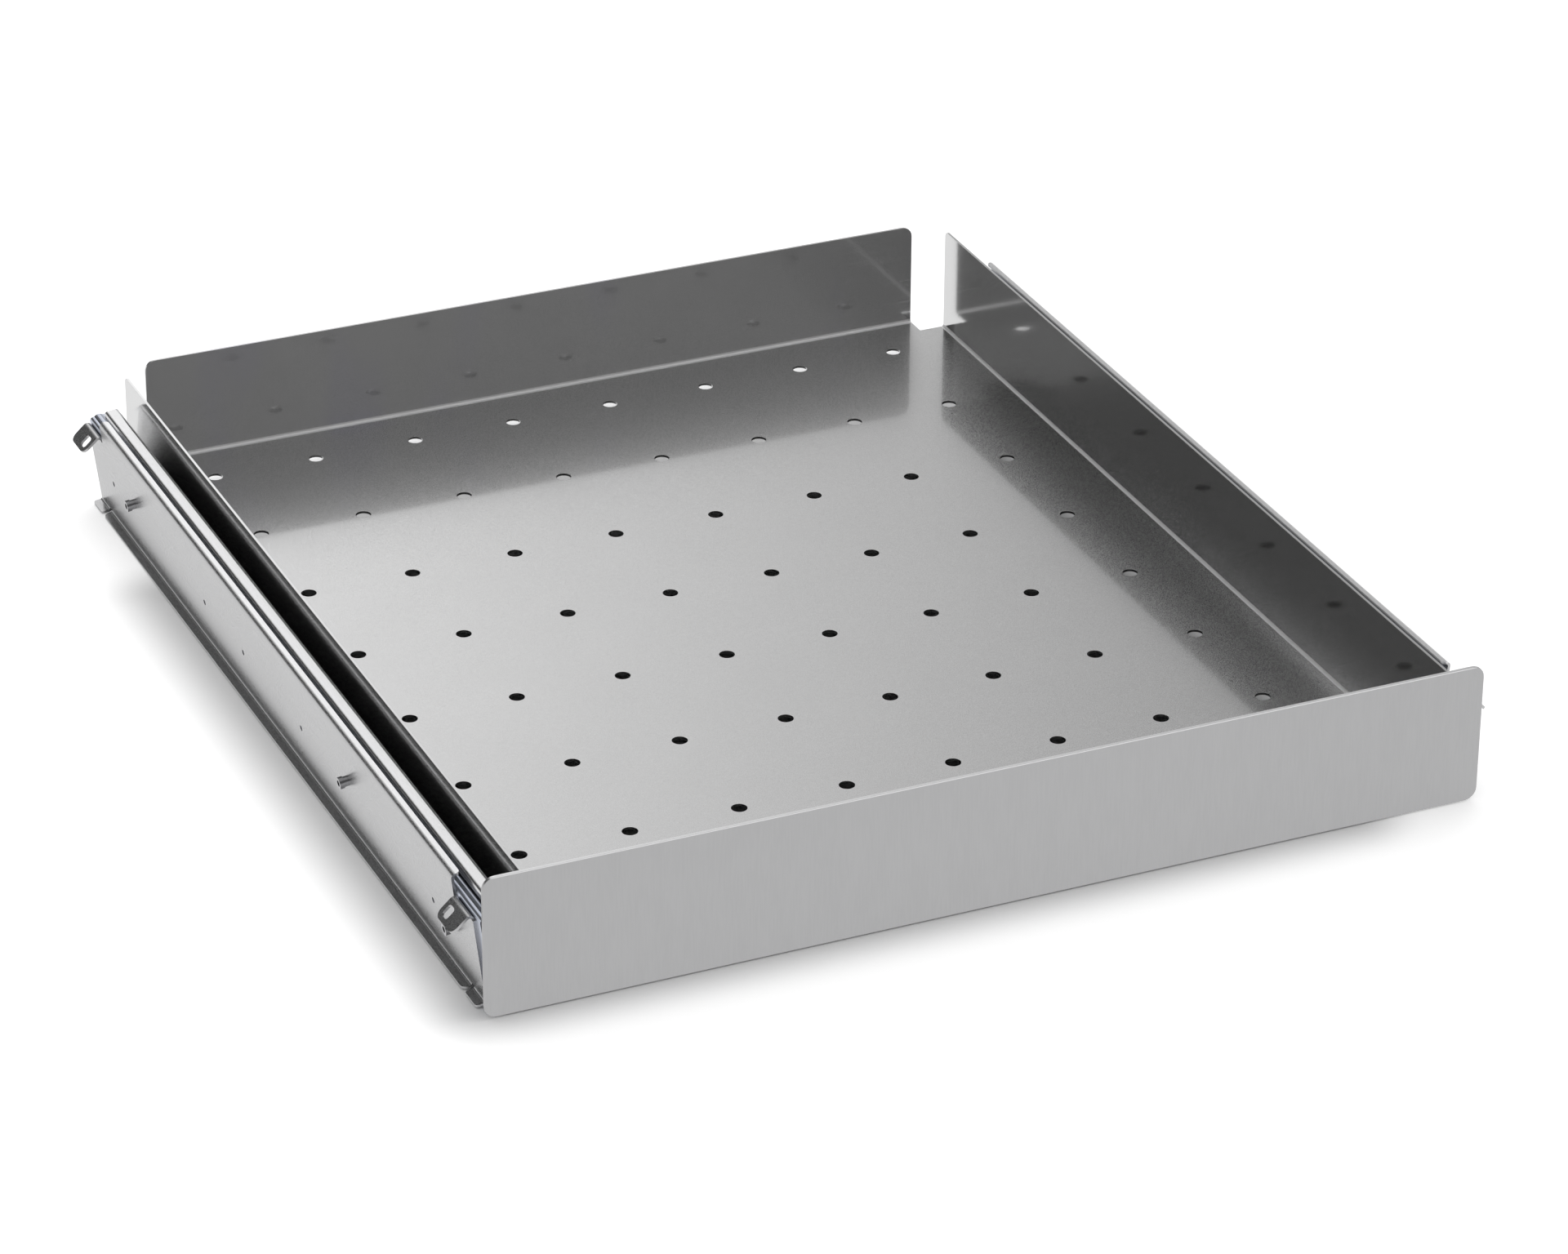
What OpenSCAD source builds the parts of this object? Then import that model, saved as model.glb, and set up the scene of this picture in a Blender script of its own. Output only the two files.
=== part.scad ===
// Pull-out perforated tray of an outdoor kitchen, with its fascia, its two telescopic
// ball-bearing runners and the two side brackets that hook into the kitchen's frame.
// Millimetres, X to the right, Y to the back, Z up. The origin is on the surface that the
// unit stands on, midway between the brackets and midway from front to back.

/* [Tray] */
// Outer width of the tray, over its two side flanges
tray_w = 423; // [300:0.5:600]
// Outer length of the tray, over its front and rear flanges
tray_l = 509.5; // [350:0.5:600]
// Height of the side and rear flanges, from the floor's underside
tray_h = 52.3; // [42:0.1:80]
// Height of the front flange, which hides behind the fascia
tray_front_h = 46; // [20:0.5:60]
// Thickness of the tray's sheet
tray_t = 1.2; // [0.8:0.1:2]
// Inside radius of the tray's folds
tray_fold_r = 1.2; // [0.5:0.1:3]
// Cut-out of each rear corner, measured across
corner_cut_x = 12.6; // [6:0.1:25]
// Cut-out of each rear corner, measured from front to back
corner_cut_y = 11.5; // [6:0.1:25]
// Gap between the front flange's ends and the side flanges
front_relief = 3.5; // [2:0.1:8]
// Corner radius at the ends of the rear flange
rear_flange_r = 5; // [1:0.5:12]
// Corner radius at the rear ends of the side flanges
side_flange_r = 2.5; // [1:0.5:12]

/* [Holes of the tray] */
// Number of holes across
hole_columns = 8; // [2:1:8]
// Number of holes from front to back
hole_rows = 8; // [2:1:8]
// Distance between neighbouring holes, across
hole_pitch_x = 50; // [20:0.5:55]
// Distance between neighbouring holes, from front to back
hole_pitch_y = 64.25; // [20:0.25:66]
// Diameter of a hole
hole_d = 7; // [3:0.5:15]

/* [Fascia] */
// Width of the fascia
fascia_w = 456; // [444:1:620]
// Height of the fascia
fascia_h = 64.7; // [62:0.1:120]
// Thickness of the fascia's plate
fascia_t = 1.5; // [1:0.1:3]
// Corner radius of the fascia
fascia_r = 5.5; // [1:0.5:15]
// Air under the fascia when the unit stands on a table
fascia_lift = 0.3; // [0.3:0.1:10]
// Diameter of the weld studs on the fascia's back
weld_stud_d = 4; // [3:0.5:5]
// Length of the weld studs
weld_stud_l = 9; // [7:0.5:14]
// Width across the flats of the nuts on the weld studs
nut_flats = 7; // [5.5:0.5:9]
// Thickness of those nuts
nut_h = 3.2; // [2:0.1:5]
// Height of the weld studs over the tray's floor
weld_stud_z = 26; // [12:0.5:34]

/* [Carriers under the tray] */
// Thickness of the carriers' sheet
carrier_t = 1.2; // [0.8:0.1:2]
// Inside radius of the carriers' folds
carrier_fold_r = 0.4; // [0.4:0.1:1.2]
// Width of the foot that is welded under the tray's floor
carrier_foot_w = 24; // [12:0.5:40]
// Height of the carrier's wall, from the foot's top to the top edge
carrier_h = 39.4; // [38.6:0.1:41]
// Overall width of the turned-out top edge
carrier_top_w = 7; // [5:0.1:7.4]
// Height of the lip that hangs from the top edge
carrier_lip_h = 4; // [3.4:0.1:4.4]
// Gap between the tray's side and the heel of the carrier
heel_gap = 0.3; // [0.1:0.1:2]
// How far the carrier stops short of the tray's rear flange
carrier_rear_gap = 17; // [0:0.5:60]
// Gap between the carrier's front end and the fascia
carrier_front_gap = 0.5; // [0:0.1:5]

/* [Runners] */
// Outward lean of runner, carrier wall and bracket, in degrees
runner_lean = 7; // [0:0.5:9]
// Overall height of the runner
runner_h = 45; // [43:0.5:46]
// How much shorter the outer rail is than the tray
runner_short = 9.5; // [4:0.5:40]
// Gap between the fascia's back and the runner's front end
runner_front_gap = 2.5; // [1:0.1:6]
// Height of the runner's centre line over the tray floor's underside
runner_mid_h = 11.7; // [11.6:0.1:13]
// Thickness of the rails' sheet
rail_t = 1.2; // [1:0.1:1.3]
// Ball diameter
ball_d = 3.2; // [2.8:0.1:3.4]
// Running gap between a ball and its race
race_gap = 0.25; // [0.2:0.05:0.35]
// Half the angle over which a race wraps round its balls
race_wrap = 40; // [34:1:42]
// Radius of the middle of the sheet at the inner rail's tight folds
rail_fold_r = 0.66; // [0.65:0.01:0.9]
// Radius of the middle of the sheet at the other rails' folds
rail_bend_r = 1.2; // [1:0.05:1.4]
// Depth of the outer rail's lips past its race
rail_tip = 2.2; // [1:0.1:2.4]
// How much shorter the middle rail is than the outer one
middle_short = 10; // [6:0.5:60]
// How much shorter the inner rail is than the outer one
inner_short = 12; // [6:0.5:60]

/* [Ball cages] */
// Thickness of the cages' strip
cage_t = 0.6; // [0.4:0.05:0.7]
// Running gap between a cage and the rails beside it
cage_gap = 0.4; // [0.3:0.05:0.5]
// Gap between a ball and its hole in the cage
ball_play = 0.1; // [0.05:0.05:0.3]
// Width of the strip left beside the ball holes
cage_rim = 0.8; // [0.5:0.05:0.9]
// Balls in each row
balls_per_row = 11; // [3:1:12]
// Distance between neighbouring balls
ball_pitch = 16; // [8:0.5:18]

/* [Side brackets] */
// Thickness of the brackets' sheet
bracket_t = 1.2; // [1:0.1:2]
// Inside radius of the brackets' folds
bracket_fold_r = 1; // [0.5:0.1:1.6]
// Height of the bracket's web
bracket_h = 50; // [48:0.5:60]
// Height of the runner's centre line over the web's lower edge
bracket_below = 20.9; // [20:0.1:22]
// Overall width of the turned-in top edge
bracket_top_w = 4.2; // [3.8:0.1:4.4]
// Overall width of the turned-out foot lip, from the web's outer face
bracket_lip_w = 4.4; // [3:0.1:12]
// Gap between the fascia's back and the web's front end
bracket_front_gap = 8; // [2:0.5:20]
// How much shorter the web is than the tray
bracket_short = 15.5; // [4:0.5:60]
// Distance from each end of the web to the end of the turned-in top edge
top_edge_inset = 21; // [20:0.5:40]
// Relief between the foot lip and the small tabs at its ends
lip_relief = 2.4; // [1:0.1:6]
// Length of the small foot tabs at the ends
lip_tab_l = 12.5; // [6:0.5:30]
// Corner radius of the lip and of the top edge's ends
lip_r = 3; // [1:0.1:3]

/* [Hook tabs] */
// Slope of the hook tabs below the horizontal, in degrees
hook_slope = 42; // [30:1:50]
// Width of a hook tab, along the bracket
hook_w = 17.4; // [12:0.1:18.8]
// Length of a hook tab past its fold
hook_l = 9; // [8:0.1:12]
// Corner radius at the free end of a hook tab
hook_r = 3.6; // [1:0.1:5]
// Distance from the web's end to the hook tab
hook_inset = 1.2; // [0:0.1:1.8]
// Drop from the bracket's top to the hook tabs' fold
hook_drop = 8.5; // [7:0.1:14]
// Slot in a hook tab, measured along the bracket
hook_slot_w = 5.4; // [4:0.1:8]
// Slot in a hook tab, measured down its slope
hook_slot_l = 5.6; // [4:0.1:6]
// Distance from the fold to the slot
hook_slot_start = 1.4; // [0.8:0.1:2]
// Offset of the slot towards the middle of the bracket
hook_slot_offset = 3.3; // [0:0.1:4]
// Corner radius of the slot
hook_slot_r = 1.4; // [0.5:0.1:2]

/* [Studs and rivets] */
// Diameter of the hollow studs that hold the outer rail
stud_d = 4.6; // [3:0.1:5]
// How far a stud stands out of the web
stud_l = 4.2; // [3:0.1:8]
// Diameter of a stud's head
stud_head_d = 5.4; // [5.1:0.1:7]
// Length of that head
stud_head_l = 2.1; // [1:0.1:2.8]
// Diameter of the hollow in a stud's outer end
stud_hollow_d = 2.8; // [1:0.1:2.9]
// Height of the middle and rear studs over the front one
stud_rise = 5.2; // [0:0.1:8]
// Play of a stud in its holes
stud_play = 0.05; // [0.02:0.01:0.2]
// Diameter of the pilot holes in the bracket's web
pilot_d = 2.6; // [1:0.1:4]
// Diameter of the rivets between inner rail and carrier
rivet_d = 4; // [3:0.5:5]
// Diameter of a rivet's heads
rivet_head_d = 7; // [6:0.5:9]
// Thickness of a rivet's head inside the rail
rivet_head_t = 1.2; // [0.6:0.1:1.6]
// Thickness of a rivet's low head beside the tray
rivet_low_t = 0.5; // [0.3:0.1:0.6]

/* [Hidden] */
left = -1;
right = 1;

// Steps of an arc of sheet, of a rounded corner and of a full circle
arc_steps = 6;
corner_steps = 6;
$fn = 48;
// Overrun of a cut past the faces that it opens
over = 1;

// Where the studs and pilot holes lie along the web, from its front end
stud_shares = [0.058, 0.304, 0.876];
pilot_shares = [0.104, 0.425, 0.577, 0.682, 0.943];
// Where the rivets lie along the inner rail, from its front end
rivet_shares = [0.09, 0.36, 0.64, 0.91];
// Where the weld studs lie across the tray, from its middle
weld_stud_shares = [-0.38, -0.13, 0.13, 0.38];

// Front to back
front_y = -(tray_l + fascia_t) / 2;
fascia_back_y = front_y + fascia_t;
tray_rear_y = fascia_back_y + tray_l;
runner_l = tray_l - runner_short;
runner_front_y = fascia_back_y + runner_front_gap;
bracket_l = tray_l - bracket_short;
bracket_front_y = fascia_back_y + bracket_front_gap;
middle_l = runner_l - middle_short;
inner_l = runner_l - inner_short;
cage_l = balls_per_row * ball_pitch;
cage_mid_y = runner_front_y + middle_l / 2;

// Races: the sheet's middle runs race_mid_r from the balls' centres
ball_r = ball_d / 2;
race_r = ball_r + race_gap;
race_mid_r = race_r + rail_t / 2;
ease_r = rail_t / 2 + race_gap;

// Across the runner, outwards from the carrier's inner face
inner_web_x = carrier_t + rail_t / 2;
inner_ball_x = inner_web_x + rail_fold_r * (1 + sin(race_wrap)) + race_mid_r * sin(race_wrap);
outer_ball_x = inner_ball_x + 2 * race_mid_r * sin(race_wrap);
middle_web_x = outer_ball_x + rail_bend_r;
outer_cage_x = middle_web_x + (rail_t + cage_t) / 2 + cage_gap;
outer_web_x = outer_cage_x + (cage_t + rail_t) / 2 + cage_gap;
inner_cage_x = middle_web_x - (rail_t + cage_t) / 2 - cage_gap;
web_in_x = outer_web_x + rail_t / 2;
web_out_x = web_in_x + bracket_t;
web_mid_x = (web_in_x + web_out_x) / 2;

// Up the runner, from its centre line
outer_ball_h = runner_h / 2 - rail_t - race_r;
inner_ball_h = outer_ball_h - 2 * race_mid_r * cos(race_wrap);
outer_flat_h = outer_ball_h + race_mid_r - (race_mid_r + ease_r) * (1 - cos(race_wrap));

// Up the leaning group, from the underside of the tray's floor
web_low_h = runner_mid_h - bracket_below;
web_top_h = web_low_h + bracket_h;
lip_low_h = web_low_h - bracket_t;
lip_out_x = web_out_x + bracket_lip_w;

// The heel is where the carrier's inner face meets the tray floor's underside
heel_x = tray_w / 2 + heel_gap;
heel_z = lip_out_x * sin(runner_lean) - lip_low_h * cos(runner_lean);
tray_z = heel_z;
floor_z = tray_z + tray_t;

// One point on an arc of radius r about c
function on_arc(c, r, a) = c + r * [cos(a), sin(a)];

// Points round the corner at b, between a and c, rounded with radius r
function corner(a, b, c, r) = r == 0 ? [b] :
    let (
        u = (a - b) / norm(a - b),
        v = (c - b) / norm(c - b),
        half = acos(u * v) / 2,
        mid = b + (u + v) / norm(u + v) * r / sin(half),
        p = b + u * r / tan(half) - mid,
        q = b + v * r / tan(half) - mid,
        start = atan2(p.y, p.x),
        swing = atan2(p.x * q.y - p.y * q.x, p * q)
    )
    [for (k = [0:corner_steps]) on_arc(mid, r, start + swing * k / corner_steps)];

// Closed outline through points, each with its own corner radius
function rounded(points, radii) = [
    for (i = [0:len(points) - 1])
        each corner(
            points[(i + len(points) - 1) % len(points)],
            points[i],
            points[(i + 1) % len(points)],
            radii[i]
        )
];

// Rectangle from corner a to corner b, rounded with radius r
function rounded_box(a, b, r) = rounded([a, [b.x, a.y], b, [a.x, b.y]], [r, r, r, r]);

// Walk along the middle of a bent sheet. Each step is [straight length, turn in degrees,
// bend radius], and each station is [point, heading]
function walk(steps, p, heading, i = 0) = i == len(steps) ? [[p, heading]] :
    let (
        run = steps[i][0],
        turn = steps[i][1],
        r = steps[i][2],
        q = p + run * [cos(heading), sin(heading)],
        side = sign(turn),
        c = q + side * r * [-sin(heading), cos(heading)],
        bent = [for (k = [0:arc_steps - 1])
            let (a = heading + turn * k / arc_steps) [c - side * r * [-sin(a), cos(a)], a]],
        end_heading = heading + turn,
        end = turn == 0 ? q : c - side * r * [-sin(end_heading), cos(end_heading)]
    )
    concat(
        run == 0 ? [] : [[p, heading]],
        turn == 0 ? [] : bent,
        walk(steps, end, end_heading, i + 1)
    );

// Outline of a sheet of thickness t whose middle runs through the stations
function sheet(stations, t) = concat(
    [for (s = stations) s[0] + t / 2 * [-sin(s[1]), cos(s[1])]],
    [for (i = [len(stations) - 1:-1:0])
        let (s = stations[i]) s[0] - t / 2 * [-sin(s[1]), cos(s[1])]]
);

// Stations of a section that is the same above and below its middle
function both_ways(stations) = concat(
    [for (i = [len(stations) - 1:-1:1])
        let (s = stations[i]) [[s[0].x, -s[0].y], 180 - s[1]]],
    [for (i = [1:len(stations) - 1]) stations[i]]
);

// Draws a section, given across and up, from y0 back to y1
module along_y(y0, y1) {
    translate([0, y1, 0])
        rotate([90, 0, 0])
            linear_extrude(y1 - y0)
                children();
}

// Draws a plate, given along Y and up, from x0 out to x1
module across_x(x0, x1) {
    translate([x0, 0, 0])
        rotate([90, 0, 90])
            linear_extrude(x1 - x0)
                children();
}

// Puts a piece drawn for the right side on the side asked for
module on_side(side) {
    if (side == left)
        mirror([1, 0, 0]) children();
    else
        children();
}

// Leaning frame of a runner: X outwards from the carrier's inner face, Z up the lean
module leaning(side) {
    on_side(side)
        translate([heel_x, 0, heel_z])
            rotate([0, runner_lean, 0])
                children();
}

// The same frame, raised to the runner's centre line
module at_runner(side) {
    leaning(side)
        translate([0, 0, runner_mid_h])
            children();
}

function web_y(share) = bracket_front_y + share * bracket_l;
function stud_y(i) = web_y(stud_shares[i]);
function stud_h(i) = runner_mid_h + (i == 0 ? 0 : stud_rise);
function rivet_y(share) = runner_front_y + share * inner_l;
function ball_y(i) = cage_mid_y + (i - (balls_per_row - 1) / 2) * ball_pitch;

// Tray

// Fold and upright of an end flange, drawn with the sheet's outside at depth 0
module end_flange(half_w, h, corner_r) {
    mid_r = tray_fold_r + tray_t / 2;
    fold = walk([[0, 90, mid_r]], [-(tray_fold_r + tray_t), tray_t / 2], 0);
    rotate([0, 0, 90])
        along_y(-half_w, half_w)
            polygon(sheet(fold, tray_t));
    rotate([90, 0, 0])
        linear_extrude(tray_t)
            polygon(rounded(
                [
                    [-half_w, tray_fold_r + tray_t],
                    [half_w, tray_fold_r + tray_t],
                    [half_w, h],
                    [-half_w, h],
                ],
                [0, 0, corner_r, corner_r]
            ));
}

module tray() {
    in_x = tray_w / 2 - tray_t;
    in_rear_y = tray_rear_y - tray_t;
    fold_depth = tray_fold_r + tray_t;
    side_rear_y = in_rear_y - corner_cut_y;
    rear_half_w = in_x - corner_cut_x;
    front_half_w = in_x - front_relief;
    color("gainsboro")
        translate([0, 0, tray_z])
            difference() {
                union() {
                    // Floor
                    translate([-(in_x - tray_fold_r), fascia_back_y + fold_depth, 0])
                        cube([2 * (in_x - tray_fold_r), tray_l - 2 * fold_depth, tray_t]);
                    // Side folds and flanges
                    for (side = [left, right])
                        on_side(side)
                            tray_side(side_rear_y);
                    // Rear and front flanges
                    translate([0, tray_rear_y, 0])
                        end_flange(rear_half_w, tray_h, rear_flange_r);
                    translate([0, fascia_back_y, 0])
                        rotate([0, 0, 180])
                            end_flange(front_half_w, tray_front_h, side_flange_r);
                }
                tray_cuts(rear_half_w, side_rear_y);
            }
}

// Fold and flange of the right side, from the fascia back to y1
module tray_side(y1) {
    fold_depth = tray_fold_r + tray_t;
    mid_r = tray_fold_r + tray_t / 2;
    fold = walk([[0, 90, mid_r]], [tray_w / 2 - fold_depth, tray_t / 2], 0);
    along_y(fascia_back_y, y1)
        polygon(sheet(fold, tray_t));
    across_x(tray_w / 2 - tray_t, tray_w / 2)
        polygon(rounded(
            [
                [fascia_back_y, fold_depth],
                [y1, fold_depth],
                [y1, tray_h],
                [fascia_back_y, tray_h],
            ],
            [0, 0, side_flange_r, 0]
        ));
}

// Holes of the floor, rear corner cut-outs and holes for the weld studs
module tray_cuts(rear_half_w, side_rear_y) {
    for (i = [0:hole_columns - 1], j = [0:hole_rows - 1])
        translate([
            (i - (hole_columns - 1) / 2) * hole_pitch_x,
            fascia_back_y + tray_l / 2 + (j - (hole_rows - 1) / 2) * hole_pitch_y,
            -over
        ])
            cylinder(d = hole_d, h = tray_t + 2 * over);
    for (side = [left, right])
        on_side(side)
            translate([rear_half_w, side_rear_y, -over])
                cube([tray_w, tray_l, tray_t + 2 * over]);
    for (share = weld_stud_shares)
        translate([share * tray_w, fascia_back_y - over, tray_t + weld_stud_z])
            rotate([-90, 0, 0])
                cylinder(d = weld_stud_d + 2 * ball_play, h = tray_t + 2 * over);
}

// Fascia with its weld studs and nuts

module fascia() {
    color("silver")
        translate([0, fascia_back_y, 0])
            rotate([90, 0, 0])
                linear_extrude(fascia_t)
                    polygon(rounded_box(
                        [-fascia_w / 2, fascia_lift],
                        [fascia_w / 2, fascia_lift + fascia_h],
                        fascia_r
                    ));
}

module fascia_studs() {
    color("darkgray")
        for (share = weld_stud_shares)
            translate([share * tray_w, fascia_back_y, floor_z + weld_stud_z])
                rotate([-90, 0, 0])
                    cylinder(d = weld_stud_d, h = weld_stud_l);
}

module fascia_nuts() {
    color("darkgray")
        for (share = weld_stud_shares)
            translate([share * tray_w, fascia_back_y + tray_t, floor_z + weld_stud_z])
                rotate([-90, 0, 0])
                    difference() {
                        cylinder(d = nut_flats / cos(30), h = nut_h, $fn = 6);
                        translate([0, 0, -over])
                            cylinder(d = weld_stud_d + ball_play, h = nut_h + 2 * over);
                    }
}

// Carrier: foot under the tray, leaning wall, turned-out top edge with a lip
module carrier(side) {
    y0 = fascia_back_y + carrier_front_gap;
    y1 = tray_rear_y - carrier_rear_gap;
    color("whitesmoke")
        difference() {
            on_side(side)
                translate([heel_x, 0, heel_z])
                    along_y(y0, y1)
                        polygon(sheet(carrier_section(), carrier_t));
            carrier_rivet_holes(side);
        }
}

// Stations of the carrier's section, from the foot's free edge to the lip's
function carrier_section() =
    let (
        mid_r = carrier_fold_r + carrier_t / 2,
        turn = 90 - runner_lean,
        // Where the middle of the foot would meet the middle of the wall
        meet_x = carrier_t / 2 * (1 - sin(runner_lean)) / cos(runner_lean),
        setback = mid_r * tan(turn / 2),
        foot = carrier_foot_w + meet_x - setback,
        rise = carrier_h - carrier_t / 2 + carrier_t / 2 / cos(runner_lean)
            - meet_x * sin(runner_lean)
    )
    walk(
        [
            [foot, turn, mid_r],
            [rise - setback - mid_r, -90, mid_r],
            [carrier_top_w - 2 * mid_r - carrier_t, -90, mid_r],
            [carrier_lip_h - mid_r - carrier_t / 2, 0, 0],
        ],
        [-carrier_foot_w, -carrier_t / 2], 0
    );

module carrier_rivet_holes(side) {
    at_runner(side)
        for (share = rivet_shares)
            translate([-over, rivet_y(share), 0])
                rotate([0, 90, 0])
                    cylinder(d = rivet_d + 2 * stud_play, h = carrier_t + 2 * over);
}

// Runner, from the drawer outwards

function inner_rail_half() = walk(
    [
        [inner_ball_h - race_mid_r * cos(race_wrap) - rail_fold_r * cos(race_wrap),
            -90 - race_wrap, rail_fold_r],
        [0, 2 * race_wrap, race_mid_r],
    ],
    [inner_web_x, 0], 90
);

function middle_rail_half() = walk(
    [
        [outer_ball_h - race_mid_r - rail_bend_r, 90, rail_bend_r],
        [0, -race_wrap, race_mid_r],
        [0, 2 * race_wrap, race_mid_r],
    ],
    [middle_web_x, 0], 90
);

function outer_rail_half() =
    let (bump = (race_mid_r + ease_r) * sin(race_wrap))
    walk(
        [
            [outer_flat_h - rail_bend_r, 90, rail_bend_r],
            [outer_web_x - rail_bend_r - outer_ball_x - bump, -race_wrap, ease_r],
            [0, 2 * race_wrap, race_mid_r],
            [0, -race_wrap, ease_r],
            [rail_tip, 0, 0],
        ],
        [outer_web_x, 0], 90
    );

module inner_rail(side) {
    color("lightsteelblue")
        at_runner(side)
            difference() {
                along_y(runner_front_y, runner_front_y + inner_l)
                    polygon(sheet(both_ways(inner_rail_half()), rail_t));
                for (share = rivet_shares)
                    translate([carrier_t - over, rivet_y(share), 0])
                        rotate([0, 90, 0])
                            cylinder(d = rivet_d + 2 * stud_play, h = rail_t + 2 * over);
            }
}

module inner_rivets(side) {
    color("silver")
        at_runner(side)
            for (share = rivet_shares)
                translate([0, rivet_y(share), 0])
                    rotate([0, 90, 0])
                        union() {
                            cylinder(d = rivet_d, h = carrier_t + rail_t + rivet_head_t);
                            translate([0, 0, -rivet_low_t])
                                cylinder(d = rivet_head_d, h = rivet_low_t);
                            translate([0, 0, carrier_t + rail_t])
                                cylinder(d = rivet_head_d, h = rivet_head_t);
                        }
}

module middle_rail(side) {
    color("lightsteelblue")
        at_runner(side)
            along_y(runner_front_y, runner_front_y + middle_l)
                polygon(sheet(both_ways(middle_rail_half()), rail_t));
}

module outer_rail(side) {
    color("lightsteelblue")
        difference() {
            at_runner(side)
                along_y(runner_front_y, runner_front_y + runner_l)
                    polygon(sheet(both_ways(outer_rail_half()), rail_t));
            leaning(side)
                for (i = [0:len(stud_shares) - 1])
                    translate([web_in_x - rail_t - over, stud_y(i), stud_h(i)])
                        rotate([0, 90, 0])
                            cylinder(d = stud_d + 2 * stud_play, h = rail_t + 2 * over);
        }
}

// Plastic block in the rear end of the outer rail, which the middle rail runs up to
module end_stop(side) {
    stop_y0 = runner_front_y + middle_l + ball_r;
    stop_y1 = runner_front_y + runner_l;
    stop_x1 = web_in_x - rail_t;
    stop_x0 = outer_ball_x - race_r;
    stop_h = outer_ball_h - race_r;
    color("dimgray")
        at_runner(side)
            across_x(stop_x0, stop_x1)
                polygon(rounded_box([stop_y0, -stop_h], [stop_y1, stop_h], ball_r));
}

// Ball cages and their balls

function cage_half(web_x, ball_x, ball_h) = walk(
    [
        [ball_h - cage_t, 90, cage_t],
        [web_x - cage_t - (ball_x - ball_r - ball_play - cage_rim), 0, 0],
    ],
    [web_x, 0], 90
);

module cage(side, web_x, ball_x, ball_h) {
    color("darkseagreen")
        at_runner(side)
            difference() {
                along_y(cage_mid_y - cage_l / 2, cage_mid_y + cage_l / 2)
                    polygon(sheet(both_ways(cage_half(web_x, ball_x, ball_h)), cage_t));
                for (i = [0:balls_per_row - 1])
                    translate([ball_x, ball_y(i), -ball_h - ball_d])
                        cylinder(r = ball_r + ball_play, h = 2 * (ball_h + ball_d));
            }
}

module balls(side, ball_x, ball_h) {
    color("lightgray")
        at_runner(side)
            for (i = [0:balls_per_row - 1], up = [-1, 1])
                translate([ball_x, ball_y(i), up * ball_h])
                    sphere(d = ball_d, $fn = 24);
}

// Side bracket: web, turned-in top edge, turned-out foot lip, hook tabs at both ends

module bracket(side) {
    y0 = bracket_front_y;
    y1 = bracket_front_y + bracket_l;
    top_y0 = y0 + top_edge_inset;
    top_y1 = y1 - top_edge_inset;
    color("gainsboro")
        leaning(side)
            difference() {
                union() {
                    across_x(web_in_x, web_out_x)
                        polygon(web_outline(y0, y1, top_y0, top_y1));
                    bracket_top_edge(top_y0, top_y1);
                    foot_lip(y0 + lip_tab_l + lip_relief, y1 - lip_tab_l - lip_relief, lip_r);
                    foot_lip(y0, y0 + lip_tab_l, lip_r / 2);
                    foot_lip(y1 - lip_tab_l, y1, lip_r / 2);
                    hook_tab(y0 + hook_inset, 1);
                    hook_tab(y1 - hook_inset - hook_w, -1);
                }
                web_holes();
            }
}

// Web between its folds, with a shoulder at each end that the hook tab stands on
function web_outline(y0, y1, top_y0, top_y1) =
    let (
        low = web_low_h + bracket_fold_r,
        top = web_top_h - bracket_fold_r - bracket_t,
        shoulder = top - hook_drop,
        notch = bracket_fold_r
    )
    rounded(
        [
            [y0, low], [y1, low],
            [y1, shoulder], [top_y1, shoulder], [top_y1, top],
            [top_y0, top], [top_y0, shoulder], [y0, shoulder],
        ],
        [0, 0, 0, notch, 0, 0, notch, 0]
    );

module web_holes() {
    for (i = [0:len(stud_shares) - 1])
        web_hole(stud_y(i), stud_h(i), stud_d + 2 * stud_play);
    for (share = pilot_shares)
        web_hole(web_y(share), runner_mid_h, pilot_d);
}

module web_hole(y, h, d) {
    translate([web_in_x - over, y, h])
        rotate([0, 90, 0])
            cylinder(d = d, h = bracket_t + 2 * over);
}

module bracket_top_edge(y0, y1) {
    mid_r = bracket_fold_r + bracket_t / 2;
    fold_h = bracket_fold_r + bracket_t;
    fold = walk([[0, 90, mid_r]], [web_mid_x, web_top_h - fold_h], 90);
    edge_r = min(lip_r, bracket_top_w - fold_h);
    along_y(y0, y1)
        polygon(sheet(fold, bracket_t));
    translate([0, 0, web_top_h - bracket_t])
        linear_extrude(bracket_t)
            polygon(rounded(
                [
                    [web_out_x - bracket_top_w, y0], [web_out_x - fold_h, y0],
                    [web_out_x - fold_h, y1], [web_out_x - bracket_top_w, y1],
                ],
                [edge_r, 0, 0, edge_r]
            ));
}

module foot_lip(y0, y1, end_r) {
    mid_r = bracket_fold_r + bracket_t / 2;
    fold = walk([[0, 90, mid_r]], [web_mid_x, web_low_h + bracket_fold_r], 270);
    along_y(y0, y1)
        polygon(sheet(fold, bracket_t));
    translate([0, 0, lip_low_h])
        linear_extrude(bracket_t)
            polygon(rounded(
                [
                    [web_out_x + bracket_fold_r, y0], [lip_out_x, y0],
                    [lip_out_x, y1], [web_out_x + bracket_fold_r, y1],
                ],
                [0, end_r, end_r, 0]
            ));
}

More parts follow.
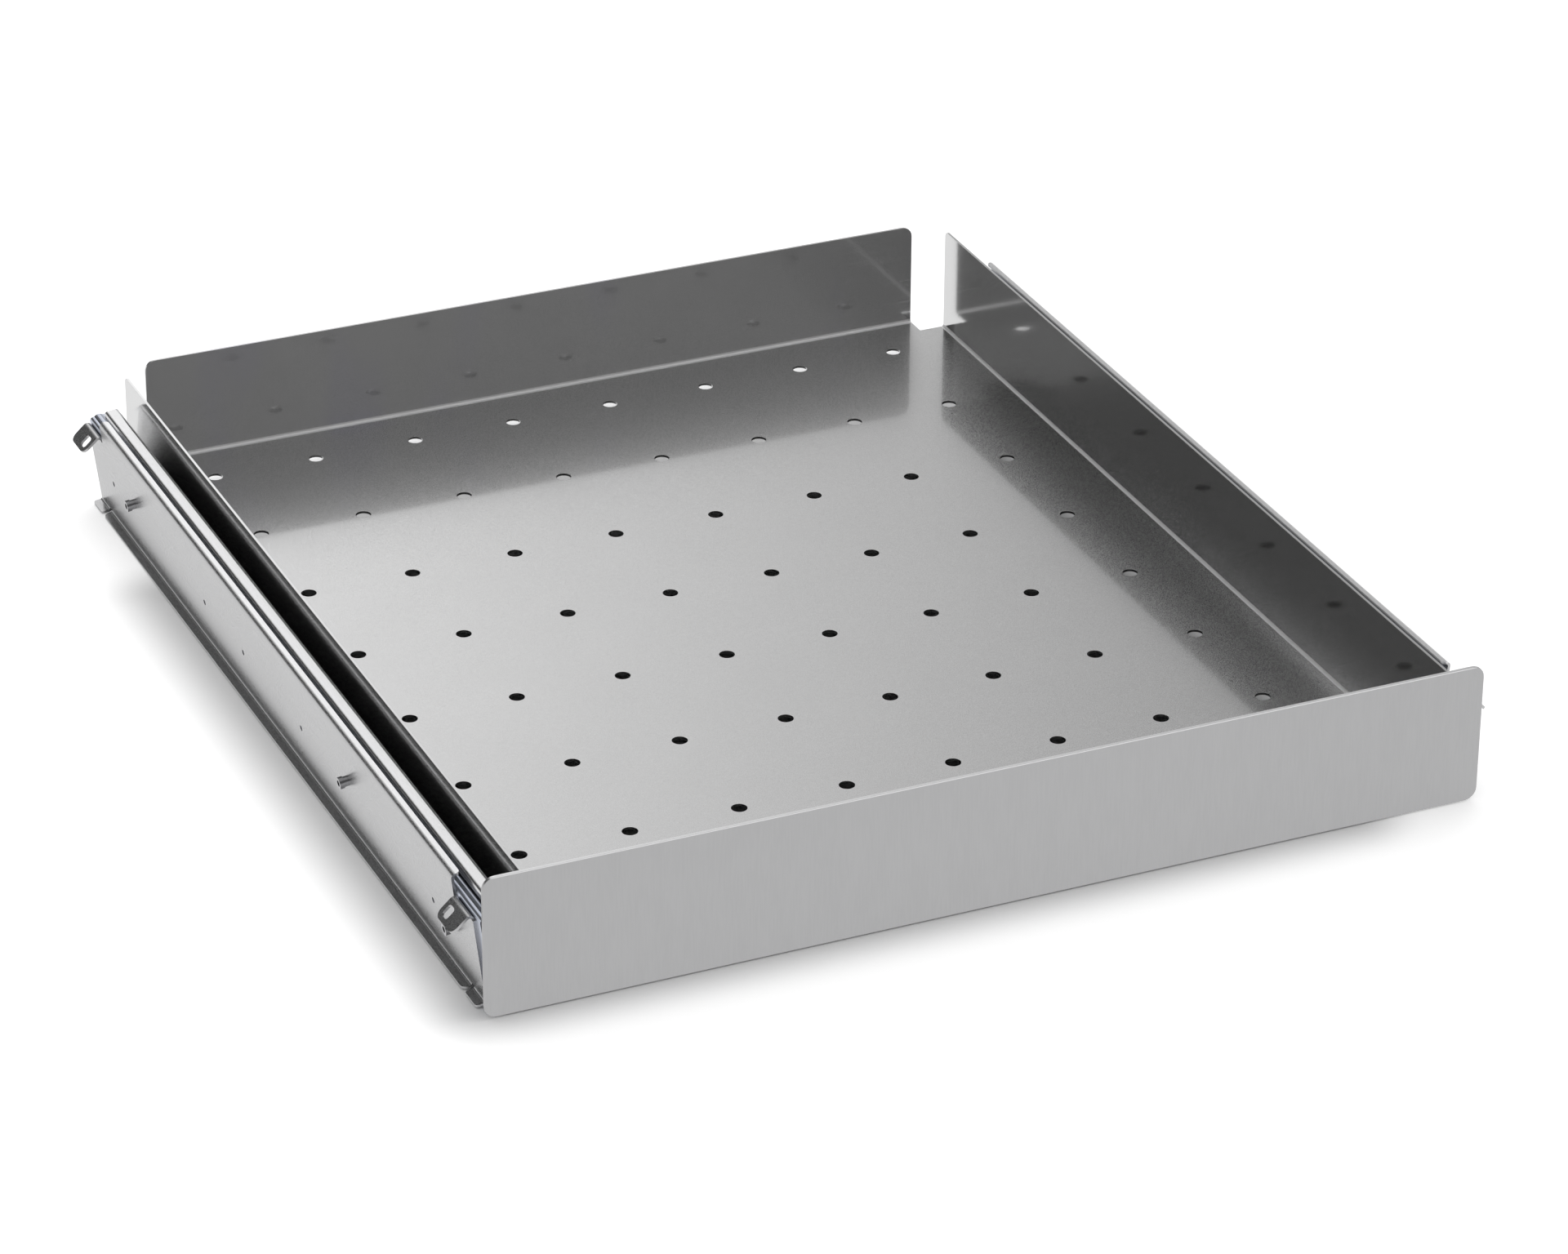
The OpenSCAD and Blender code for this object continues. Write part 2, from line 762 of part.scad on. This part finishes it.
// Hook tab from y0 on, folded out and down over the shoulder; inward is the Y direction
// of the bracket's middle
module hook_tab(y0, inward) {
    mid_r = bracket_fold_r + bracket_t / 2;
    turn = 90 + hook_slope - runner_lean;
    fold_h = web_top_h - hook_drop - bracket_fold_r - bracket_t;
    fold = walk([[0, -turn, mid_r]], [web_mid_x, fold_h], 90);
    mid_y = y0 + hook_w / 2;
    slot_y = mid_y + inward * hook_slot_offset;
    along_y(y0, y0 + hook_w)
        polygon(sheet(fold, bracket_t));
    // The plate is drawn down the slope as X, and turned about the fold's centre
    translate([web_out_x + bracket_fold_r, 0, fold_h])
        rotate([0, turn - 90, 0])
            translate([0, 0, bracket_fold_r])
                linear_extrude(bracket_t)
                    difference() {
                        polygon(rounded(
                            [
                                [0, y0], [hook_l, y0],
                                [hook_l, y0 + hook_w], [0, y0 + hook_w],
                            ],
                            [0, hook_r, hook_r, 0]
                        ));
                        polygon(rounded_box(
                            [hook_slot_start, slot_y - hook_slot_w / 2],
                            [hook_slot_start + hook_slot_l, slot_y + hook_slot_w / 2],
                            hook_slot_r
                        ));
                    }
}

module bracket_studs(side) {
    through = rail_t + bracket_t;
    color("silver")
        leaning(side)
            for (i = [0:len(stud_shares) - 1])
                translate([web_in_x - rail_t, stud_y(i), stud_h(i)])
                    rotate([0, 90, 0])
                        difference() {
                            union() {
                                cylinder(d = stud_d, h = through + stud_l);
                                translate([0, 0, through + stud_l - stud_head_l])
                                    cylinder(d = stud_head_d, h = stud_head_l);
                            }
                            translate([0, 0, through + stud_l - stud_head_l])
                                cylinder(d = stud_hollow_d, h = stud_head_l + over);
                        }
}

tray();
fascia();
fascia_studs();
fascia_nuts();
carrier(left);  // left_carrier
carrier(right);  // right_carrier
inner_rail(left);  // left_inner_rail
inner_rail(right);  // right_inner_rail
inner_rivets(left);  // left_inner_rivets
inner_rivets(right);  // right_inner_rivets
middle_rail(left);  // left_middle_rail
middle_rail(right);  // right_middle_rail
outer_rail(left);  // left_outer_rail
outer_rail(right);  // right_outer_rail
end_stop(left);  // left_end_stop
end_stop(right);  // right_end_stop
cage(left, outer_cage_x, outer_ball_x, outer_ball_h);  // left_outer_cage
cage(right, outer_cage_x, outer_ball_x, outer_ball_h);  // right_outer_cage
balls(left, outer_ball_x, outer_ball_h);  // left_outer_balls
balls(right, outer_ball_x, outer_ball_h);  // right_outer_balls
cage(left, inner_cage_x, inner_ball_x, inner_ball_h);  // left_inner_cage
cage(right, inner_cage_x, inner_ball_x, inner_ball_h);  // right_inner_cage
balls(left, inner_ball_x, inner_ball_h);  // left_inner_balls
balls(right, inner_ball_x, inner_ball_h);  // right_inner_balls
bracket(left);  // left_bracket
bracket(right);  // right_bracket
bracket_studs(left);  // left_bracket_studs
bracket_studs(right);  // right_bracket_studs
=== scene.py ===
"""Looks of a pull-out perforated tray with its fascia, ball-bearing runners and side brackets."""

import math

import bpy
from mathutils import Matrix, Vector


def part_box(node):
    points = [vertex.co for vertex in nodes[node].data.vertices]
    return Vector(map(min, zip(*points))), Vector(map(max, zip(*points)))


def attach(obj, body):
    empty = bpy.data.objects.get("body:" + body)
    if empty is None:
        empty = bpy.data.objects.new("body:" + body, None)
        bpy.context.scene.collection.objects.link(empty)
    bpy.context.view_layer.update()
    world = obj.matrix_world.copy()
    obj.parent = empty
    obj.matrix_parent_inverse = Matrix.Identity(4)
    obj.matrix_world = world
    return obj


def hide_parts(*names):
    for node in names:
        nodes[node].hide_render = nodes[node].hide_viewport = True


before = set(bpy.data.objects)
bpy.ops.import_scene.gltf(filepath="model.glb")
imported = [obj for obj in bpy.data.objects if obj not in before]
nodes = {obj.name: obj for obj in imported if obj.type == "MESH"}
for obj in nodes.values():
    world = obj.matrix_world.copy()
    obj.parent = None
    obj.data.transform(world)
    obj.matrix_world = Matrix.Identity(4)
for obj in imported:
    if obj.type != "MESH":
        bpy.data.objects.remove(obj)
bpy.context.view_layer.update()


# Camera: it stands to the left of the front, a little over two and a half metres away, and
# looks down on the tray through a long lens. Its place was solved from the grid of holes.
camera_place = Vector((-0.9519, -2.1670, 1.2566))
camera_target = Vector((0.00873, -0.01766, 0.01367))
camera_roll = math.radians(0.38)

camera_data = bpy.data.cameras.new("camera")
camera_data.lens = 136.75
camera_data.sensor_width = 36
camera_data.sensor_fit = "HORIZONTAL"
camera_data.clip_start = 0.05
camera_data.clip_end = 50
camera = bpy.data.objects.new("camera", camera_data)
bpy.context.scene.collection.objects.link(camera)
aim = (camera_target - camera_place).to_track_quat("-Z", "Y").to_matrix().to_4x4()
camera.matrix_world = Matrix.Translation(camera_place) @ aim @ Matrix.Rotation(camera_roll, 4, "Z")
bpy.context.scene.camera = camera


# Studio table: a sheet of white paper that runs out of sight, laid under the brackets' feet.
# It shows as white. The soft shadow that the unit throws on it is deepened by a painted shadow:
# the camera's glow on the paper fades out near the closed unit. Bare steel shows the same white
# paper, but nothing bright from under the unit.
paper_white = 0.86
paper_seen = 1.05
paper_lift = 0.40
paper_z = -0.0004
painted_shadow_middle = (-0.030, -0.050, 0.0)
painted_shadow_half = (0.198, 0.197, 0.0)
painted_shadow_reach = 0.036
covered_middle = (0.0, 0.0, 0.0)
covered_half = (0.226, 0.246, 0.0)
covered_edge = 0.006
paper_in_steel = 0.85


class Wire:
    """A socket in a finish. Sums and products of it become Math nodes."""

    def __init__(self, finish, socket):
        self.finish = finish
        self.socket = socket

    def math(self, operation, first, second):
        made = self.finish.node("Math", {"operation": operation}, {0: first, 1: second})
        return made["Value"]

    def __add__(self, other):
        return self.math("ADD", self, other)

    __radd__ = __add__

    def __sub__(self, other):
        return self.math("SUBTRACT", self, other)

    def __rsub__(self, other):
        return self.math("SUBTRACT", other, self)

    def __mul__(self, other):
        return self.math("MULTIPLY", self, other)

    __rmul__ = __mul__

    def clamped(self):
        return self.finish.node("Clamp", {}, {"Value": self})["Result"]

    def ease(self, start, end):
        """0 before start, 1 after end, and a soft rise between them."""
        made = self.finish.node(
            "MapRange",
            {"interpolation_type": "SMOOTHSTEP"},
            {"Value": self, "From Min": start, "From Max": end},
        )
        return made["Result"]


class Finish:
    """A material, or the room's world, and the one way in which its nodes are made."""

    def __init__(self, name, owner=None):
        self.owner = owner or bpy.data.materials.new(name)
        self.owner.use_nodes = True
        self.tree = self.owner.node_tree
        self.tree.nodes.clear()

    def node(self, kind, settings=None, inputs=None):
        """Adds a node of a type. Settings come first, then its inputs' values or links."""
        made = self.tree.nodes.new("ShaderNode" + kind)
        for key, value in (settings or {}).items():
            if key == "stops":
                ramp = made.color_ramp
                while len(ramp.elements) < len(value):
                    ramp.elements.new(0.5)
                for element, (place, level) in zip(ramp.elements, value):
                    element.position = place
                    element.color = (level, level, level, 1)
            else:
                setattr(made, key, value)
        for key, value in (inputs or {}).items():
            if isinstance(key, int):
                socket = made.inputs[key]
            else:
                socket = next(s for s in made.inputs if s.name == key and s.enabled)
            if isinstance(value, Wire):
                self.tree.links.new(value.socket, socket)
            else:
                socket.default_value = value
        return {out.name: Wire(self, out) for out in made.outputs if out.enabled}

    def place(self):
        return self.node("TexCoord")["Object"]

    def along(self, axis):
        """How far the surface lies along an axis of the unit, in metres."""
        return self.node("SeparateXYZ", {}, {"Vector": self.place()})[axis]


bpy.ops.object.select_all(action="DESELECT")
bpy.ops.mesh.primitive_plane_add(size=16, location=(0, 0, paper_z))
table = bpy.context.active_object
table.name = "table_top"
paper = Finish("table_paper")


def clear_of(middle, half, reach):
    """0 over a rectangle of the paper, rising to 1 at a distance from its sides."""
    off = paper.node("VectorMath", {"operation": "SUBTRACT"}, {0: paper.place(), 1: middle})
    off = paper.node("VectorMath", {"operation": "ABSOLUTE"}, {0: off["Vector"]})
    off = paper.node("VectorMath", {"operation": "SUBTRACT"}, {0: off["Vector"], 1: half})
    off = paper.node("VectorMath", {"operation": "MAXIMUM"}, {0: off["Vector"]})
    off = paper.node("VectorMath", {"operation": "LENGTH"}, {0: off["Vector"]})
    return off["Value"].ease(0.0, reach)


path = paper.node("LightPath")
in_steel = (path["Is Glossy Ray"] + path["Is Transmission Ray"]).clamped()
in_steel = in_steel * (1.0 - path["Diffuse Depth"].clamped())
# Painted shadow: the glow that whitens the paper for the camera fades out near the closed unit.
lift = paper.node("Mix", {"data_type": "RGBA"}, {
    "Factor": path["Is Camera Ray"] * clear_of(painted_shadow_middle, painted_shadow_half, painted_shadow_reach),
    "A": (0, 0, 0, 1),
    "B": (paper_lift, paper_lift, paper_lift, 1),
})["Result"]
tone = paper.node("Mix", {"data_type": "RGBA"}, {
    "Factor": path["Is Camera Ray"],
    "A": (paper_white, paper_white, paper_white, 1),
    "B": (paper_seen, paper_seen, paper_seen, 1),
})["Result"]
body = paper.node("BsdfDiffuse", {}, {"Color": tone})
glow = paper.node("Emission", {}, {"Color": lift, "Strength": 1.0})
shaded = paper.node("AddShader", {}, {0: body["BSDF"], 1: glow["Emission"]})
white = paper.node("Emission", {}, {"Color": (1, 1, 1, 1), "Strength": 1.0})
share = in_steel * clear_of(covered_middle, covered_half, covered_edge) * paper_in_steel
both = paper.node("MixShader", {}, {0: share, 1: shaded["Shader"], 2: white["Emission"]})
paper.node("OutputMaterial", {}, {"Surface": both["Shader"]})
table.data.materials.append(paper.owner)


# Studio room: white down to the horizon, with broad soft panels higher up and two grey
# flags, one behind to the left and one in front, which give bare steel its darker planes.
room_light = 0.5
panel_low, panel_high = 0.06, 0.14
panels_behind = (
    (0.0, 0.5), (0.16, 0.4), (0.22, 0.03), (0.42, 0.04), (0.48, 0.9), (0.57, 1.25), (0.612, 1.46),
    (0.645, 1.06), (0.68, 0.72), (0.71, 0.44), (0.85, 0.46), (1.0, 0.7),
)
panels_in_front = ((0.0, 0.2), (0.1, 0.2), (0.9, 0.2), (1.0, 0.5))
panel_dim = 0.22
panel_dim_low, panel_dim_high = 0.42, 0.58
ceiling = 0.8
ceiling_low, ceiling_high = 0.68, 0.85
front_to_back = 0.3

room = bpy.data.worlds.new("room")
bpy.context.scene.world = room
sky = Finish("room", room)
path = sky.node("LightPath")
seen = (path["Is Camera Ray"] + path["Is Glossy Ray"] + path["Is Transmission Ray"]).clamped()
ray = sky.node("SeparateXYZ", {}, {"Vector": sky.node("TexCoord")["Generated"]})
across = ray["X"] * 0.5 + 0.5


def panel_row(stops):
    """Brightness of the panels from left to right, as stops of place and level."""
    row = sky.node("ValToRGB", {"stops": [(at, level * 0.5) for at, level in stops]}, {"Fac": across})
    return sky.node("SeparateColor", {}, {"Color": row["Color"]})["Red"] * 2.0


def between(share, low, high):
    """Brightness that goes from low to high as share goes from 0 to 1."""
    return sky.node("Mix", {"data_type": "FLOAT"}, {"Factor": share, "A": low, "B": high})["Result"]


behind = ray["Y"].ease(-front_to_back, front_to_back)
panels = between(behind, panel_row(panels_in_front), panel_row(panels_behind))
panels = panels * (1.0 - ray["Z"].ease(panel_dim_low, panel_dim_high) * panel_dim)
panels = between(ray["Z"].ease(ceiling_low, ceiling_high), panels, ceiling)
panels = between(ray["Z"].ease(panel_low, panel_high), 1.0, panels)
wall = sky.node(
    "Background", {}, {"Color": (1, 1, 1, 1), "Strength": between(seen, room_light, panels)}
)
sky.node("OutputWorld", {}, {"Surface": wall["Background"]})


# Overhead lamp: one large soft box above the unit, which gives the paper its white and casts
# the soft shadow under the fascia and along the left bracket. The paper's painted shadow draws
# that shadow in closer and darker. Bare steel shows the pale ceiling in its place, so that the
# floor keeps its tone from above.
lamp_side = 2.4

lamp_data = bpy.data.lights.new("overhead", "AREA")
lamp_data.shape = "RECTANGLE"
lamp_data.size = lamp_side
lamp_data.size_y = lamp_side
lamp_data.energy = 22
lamp = bpy.data.objects.new("overhead", lamp_data)
lamp.location = (0.2, 0.6, 2.2)
lamp.rotation_euler = (-lamp.location).to_track_quat("-Z", "Y").to_euler()
lamp.visible_glossy = False
bpy.context.scene.collection.objects.link(lamp)


# Tray: one folded sheet of bright cold-rolled stainless steel, 1.2 mm thick, punched with 64
# holes and folded up on four sides. Its skin is nearly a mirror, with matt hollows between
# polished flats, faint heat tints along the rear fold, and a few scuffs from handling. Along the
# inner folds of the floor a rougher band is coloured near white, a painted highlight.
tray_low, tray_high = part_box("tray")
sheet = 0.0012
rear_fold = 0.0023
floor_z = tray_low[2] + sheet
side_x = tray_high[0] - sheet
rear_y = tray_high[1] - rear_fold
fold_reach = 0.0016
rim_break = 0.00016
rim_turn = math.radians(50)
soft_turn = math.radians(40)
flat_turn = math.radians(0.4)
same_point = 1e-6
bend_facet = 0.00085
side_fold_reach = 0.0008
side_fold_polish = 0.72
heat_start, heat_full = 0.0127, 0.0037
scuff_low, scuff_high = 0.015, 0.018


def deburred(node, body):
    """Copies a sheet part with its cut rims lightly broken, as a deburring machine leaves them."""
    bpy.ops.object.select_all(action="DESELECT")
    piece = bpy.data.objects.new(node.name + "_sheet", node.data.copy())
    bpy.context.scene.collection.objects.link(piece)
    piece.select_set(True)
    bpy.context.view_layer.objects.active = piece
    bpy.ops.object.mode_set(mode="EDIT")
    bpy.ops.mesh.select_all(action="SELECT")
    bpy.ops.mesh.remove_doubles(threshold=same_point)
    bpy.ops.mesh.dissolve_limited(angle_limit=flat_turn)
    bpy.ops.object.mode_set(mode="OBJECT")
    bpy.ops.object.shade_smooth_by_angle(angle=soft_turn)
    for face in piece.data.polygons:
        corners = [piece.data.vertices[i].co for i in face.vertices]
        way_round = sum((b - a).length for a, b in zip(corners, corners[1:] + corners[:1]))
        face.select = 2 * face.area / way_round > bend_facet
    bpy.context.tool_settings.mesh_select_mode = (False, False, True)
    bpy.ops.object.mode_set(mode="EDIT")
    bpy.ops.mesh.region_to_loop()
    bpy.ops.mesh.mark_sharp()
    bpy.ops.object.mode_set(mode="OBJECT")
    edge = piece.modifiers.new("rim", "BEVEL")
    edge.width = rim_break
    edge.segments = 2
    edge.limit_method = "ANGLE"
    edge.angle_limit = rim_turn
    edge.miter_outer = "MITER_ARC"
    edge.harden_normals = True
    bpy.ops.object.modifier_apply(modifier="rim")
    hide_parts(node.name)
    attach(piece, body)
    piece.data.materials.clear()
    return piece


def speckle(finish, waves, stretch=(1, 1, 1), detail=1.0):
    """Noise fixed to the unit, in waves to the metre, drawn out along an axis by stretch."""
    size = [waves * s for s in stretch]
    shaped = finish.node("Mapping", {}, {"Vector": finish.place(), "Scale": size})["Vector"]
    made = finish.node("TexNoise", {}, {"Vector": shaped, "Scale": 1.0, "Detail": detail})
    return made["Fac"]


def tinted(finish, share, tone, other):
    """Colour that goes from tone to other as share goes from 0 to 1."""
    inputs = {"Factor": share, "A": (*tone, 1) if isinstance(tone, tuple) else tone,
              "B": (*other, 1) if isinstance(other, tuple) else other}
    return finish.node("Mix", {"data_type": "RGBA"}, inputs)["Result"]


def bare_metal(finish, colour, roughness, height, depth):
    """Closes a metal finish: colour, gloss, and the relief of its skin, with depth in metres."""
    relief = finish.node("Bump", {}, {"Strength": 1.0, "Distance": depth, "Height": height})
    surface = finish.node(
        "BsdfPrincipled",
        {},
        {
            "Base Color": (*colour, 1) if isinstance(colour, tuple) else colour,
            "Metallic": 1.0,
            "Roughness": roughness,
            "Normal": relief["Normal"],
        },
    )
    finish.node("OutputMaterial", {}, {"Surface": surface["BSDF"]})
    return finish.owner


skin = Finish("tray_steel")
hollows = ((speckle(skin, 7000) - 0.5) * 6 + 0.5).clamped()
smudges = speckle(skin, 11, detail=3.0) - 0.5
scratch = (speckle(skin, 700, (0.02, 1, 1), 2.0) - 0.62).ease(0.0, 0.08)
handled = speckle(skin, 16, (0.5, 1, 1)).ease(0.60, 0.72)
scuffs = scratch * handled * skin.along("Z").ease(scuff_low, scuff_high)
clouds = speckle(skin, 34, detail=2.0)
heat = speckle(skin, 26, (1, 0.3, 0.3)).ease(0.5, 0.66) * skin.along("Y").ease(
    rear_y - heat_start, rear_y - heat_full
)
from_side = skin.node("Math", {"operation": "ABSOLUTE"}, {0: skin.along("X")})["Value"]
# Painted highlight: a band along the inner side and rear folds, made rougher and coloured near white.
pressed_and_fold_highlight = from_side.ease(side_x - fold_reach, side_x - fold_reach * 0.5)
rear_fold_highlight = skin.along("Y").ease(rear_y - fold_reach, rear_y - fold_reach * 0.5)
pressed_and_fold_highlight = skin.node("Math", {"operation": "MAXIMUM"}, {0: pressed_and_fold_highlight, 1: rear_fold_highlight})["Value"]
pressed_and_fold_highlight = pressed_and_fold_highlight * (1.0 - skin.along("Z").ease(floor_z + fold_reach * 0.5, floor_z + fold_reach))
colour = tinted(skin, clouds, (0.705, 0.705, 0.706), (0.735, 0.735, 0.736))
colour = tinted(skin, heat * 0.3, colour, (0.67, 0.66, 0.76))
colour = tinted(skin, scuffs * 0.3, colour, (0.85, 0.85, 0.85))
colour = tinted(skin, pressed_and_fold_highlight, colour, (0.96, 0.96, 0.96))
side_fold = from_side.ease(side_x - side_fold_reach, side_x) * (1.0 - pressed_and_fold_highlight)
hollows = hollows * (1.0 - side_fold * side_fold_polish)
gloss = hollows * 0.33 + smudges * 0.04 + scuffs * 0.2 + pressed_and_fold_highlight * 0.4 + 0.07
waves = speckle(skin, 5, detail=1.0)
tray_steel = bare_metal(skin, colour, gloss.clamped(), waves, depth=0.00004)

tray = deburred(nodes["tray"], "drawer")
tray.data.materials.append(tray_steel)


# Fascia: a flat plate of satin stainless steel, 1.5 mm thick, ground up and down with a fine
# short grain. Its cut edge along the top is coloured much lighter, a painted highlight that shows
# as a thin light line.
fascia_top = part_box("fascia")[1][2]
top_highlight_low, top_highlight_high = 0.0007, 0.0003

skin = Finish("fascia_steel")
grain = speckle(skin, 1500, (1, 1, 0.06), 3.0)
patches = speckle(skin, 170, (1, 1, 0.35), 2.0)
# Painted highlight: the top cut edge is coloured much lighter than the plate.
top_highlight = skin.along("Z").ease(fascia_top - top_highlight_low, fascia_top - top_highlight_high)
ground = (grain * 0.6 + patches * 0.4).ease(0.3, 0.7)
colour = tinted(skin, ground, (0.475, 0.475, 0.48), (0.505, 0.505, 0.51))
colour = tinted(skin, top_highlight, colour, (0.86, 0.86, 0.865))
gloss = grain * 0.16 + patches * 0.06 + 0.26
fascia_steel = bare_metal(skin, colour, gloss, grain, depth=0.0000012)

fascia = deburred(nodes["fascia"], "drawer")
fascia.data.materials.append(fascia_steel)


# Fascia's fixings: plain weld studs on the plate's back and hexagon nuts on them, inside
# the tray's front fold. Turned stainless steel, with tool rings and a trace of grease.
def turned(name, tone):
    finish = Finish(name)
    rings = speckle(finish, 2600, (1, 0.05, 1), 2.0)
    stain = speckle(finish, 240, detail=3.0)
    colour = tinted(finish, stain, tone, tuple(t * 0.86 for t in tone))
    return bare_metal(finish, colour, rings * 0.12 + stain * 0.08 + 0.09, rings, depth=0.000003)


def dressed(name, material):
    """Gives a CAD node that keeps its own mesh its finish."""
    nodes[name].data.materials.clear()
    nodes[name].data.materials.append(material)


fastener_steel = turned("fastener_steel", (0.42, 0.42, 0.43))
dressed("fascia_studs", fastener_steel)
dressed("fascia_nuts", fastener_steel)


# Carriers: rolled stainless profiles, left and right, spot-welded by their feet under the
# tray. The wall leans out a little and ends in a bright turned-out strip with a small lip.
SIDES = ("left", "right")

skin = Finish("carrier_steel")
hollows = ((speckle(skin, 6000, (1, 0.5, 1)) - 0.5) * 5 + 0.5).clamped()
drawn = speckle(skin, 900, (1, 0.012, 1), 2.0)
colour = tinted(skin, drawn, (0.76, 0.76, 0.765), (0.82, 0.82, 0.825))
carrier_steel = bare_metal(
    skin, colour, hollows * 0.24 + drawn * 0.06 + 0.1, drawn, depth=0.000002
)
for side in SIDES:
    carrier = deburred(nodes[side + "_carrier"], "drawer")
    carrier.data.materials.append(carrier_steel)


# Runners: three rails on each side, rolled from strip and plated with bluish zinc. Rolling
# leaves faint lines along them, and the plating has soft clouds of tone.
def zinc_plated(name):
    finish = Finish(name)
    rolled = speckle(finish, 1100, (1, 0.015, 1), 2.0)
    bloom = speckle(finish, 60, (1, 0.4, 1), 3.0)
    colour = tinted(finish, bloom, (0.56, 0.60, 0.70), (0.68, 0.71, 0.78))
    return bare_metal(finish, colour, bloom * 0.14 + rolled * 0.08 + 0.2, rolled, depth=0.000003)


zinc = zinc_plated("zinc")
for side in SIDES:
    for rail in ("inner_rail", "middle_rail", "outer_rail"):
        dressed(f"{side}_{rail}", zinc)
    dressed(side + "_inner_rivets", fastener_steel)


# Ball cages: strips of thin pressed steel with a row of pockets, each holding a polished
# ball. They roll between the rails at half the rails' speed.
skin = Finish("cage_steel")
pressed_and_fold_highlight = speckle(skin, 1300, (1, 0.1, 1), 2.0)
colour = tinted(skin, pressed_and_fold_highlight, (0.56, 0.57, 0.58), (0.66, 0.67, 0.68))
cage_steel = bare_metal(skin, colour, pressed_and_fold_highlight * 0.2 + 0.24, pressed_and_fold_highlight, depth=0.000003)

skin = Finish("ball_steel")
film = speckle(skin, 420, detail=2.0)
colour = tinted(skin, film, (0.80, 0.80, 0.82), (0.74, 0.74, 0.76))
ball_steel = bare_metal(skin, colour, film * 0.12 + 0.03, film, depth=0.000002)
for side in SIDES:
    for row in ("outer", "inner"):
        dressed(f"{side}_{row}_cage", cage_steel)
        dressed(f"{side}_{row}_balls", ball_steel)


# End stops: moulded black plastic blocks, pressed into the rear ends of the outer rails.
skin = Finish("stop_plastic")
moulded = speckle(skin, 1400, detail=3.0)
relief = skin.node("Bump", {}, {"Strength": 0.6, "Distance": 0.00002, "Height": moulded})
surface = skin.node(
    "BsdfPrincipled",
    {},
    {
        "Base Color": tinted(skin, moulded, (0.018, 0.018, 0.02), (0.04, 0.04, 0.044)),
        "Roughness": moulded * 0.2 + 0.4,
        "Normal": relief["Normal"],
    },
)
skin.node("OutputMaterial", {}, {"Surface": surface["BSDF"]})
for side in SIDES:
    dressed(side + "_end_stop", skin.owner)


# Side brackets: satin stainless sheet with a leaning web, a turned-in top strip, a turned-out
# foot lip, and a slotted hook tab at each end. Hollow studs through the web hold the rail.
skin = Finish("bracket_steel")
hollows = ((speckle(skin, 5200, (1, 0.4, 1)) - 0.5) * 5 + 0.5).clamped()
satin = speckle(skin, 1000, (1, 0.03, 1), 3.0)
clouds = speckle(skin, 22, (1, 0.5, 1), 2.0)
colour = tinted(skin, clouds, (0.53, 0.53, 0.535), (0.58, 0.58, 0.585))
# Painted highlight: the top strip of the same sheet is coloured much paler than the web.
bracket_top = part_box("left_bracket")[1][2]
strip_highlight_low, strip_highlight_high = 0.0013, 0.0005
top_strip_highlight = skin.along("Z").ease(bracket_top - strip_highlight_low, bracket_top - strip_highlight_high)
colour = tinted(skin, top_strip_highlight, colour, (0.88, 0.88, 0.885))
gloss = hollows * 0.2 + satin * 0.1 + 0.16
bracket_steel = bare_metal(skin, colour, gloss, satin, depth=0.000002)
for side in SIDES:
    bracket = deburred(nodes[side + "_bracket"], "side_brackets")
    bracket.data.materials.append(bracket_steel)
    dressed(side + "_bracket_studs", fastener_steel)


bpy.context.scene.view_settings.view_transform = "Standard"
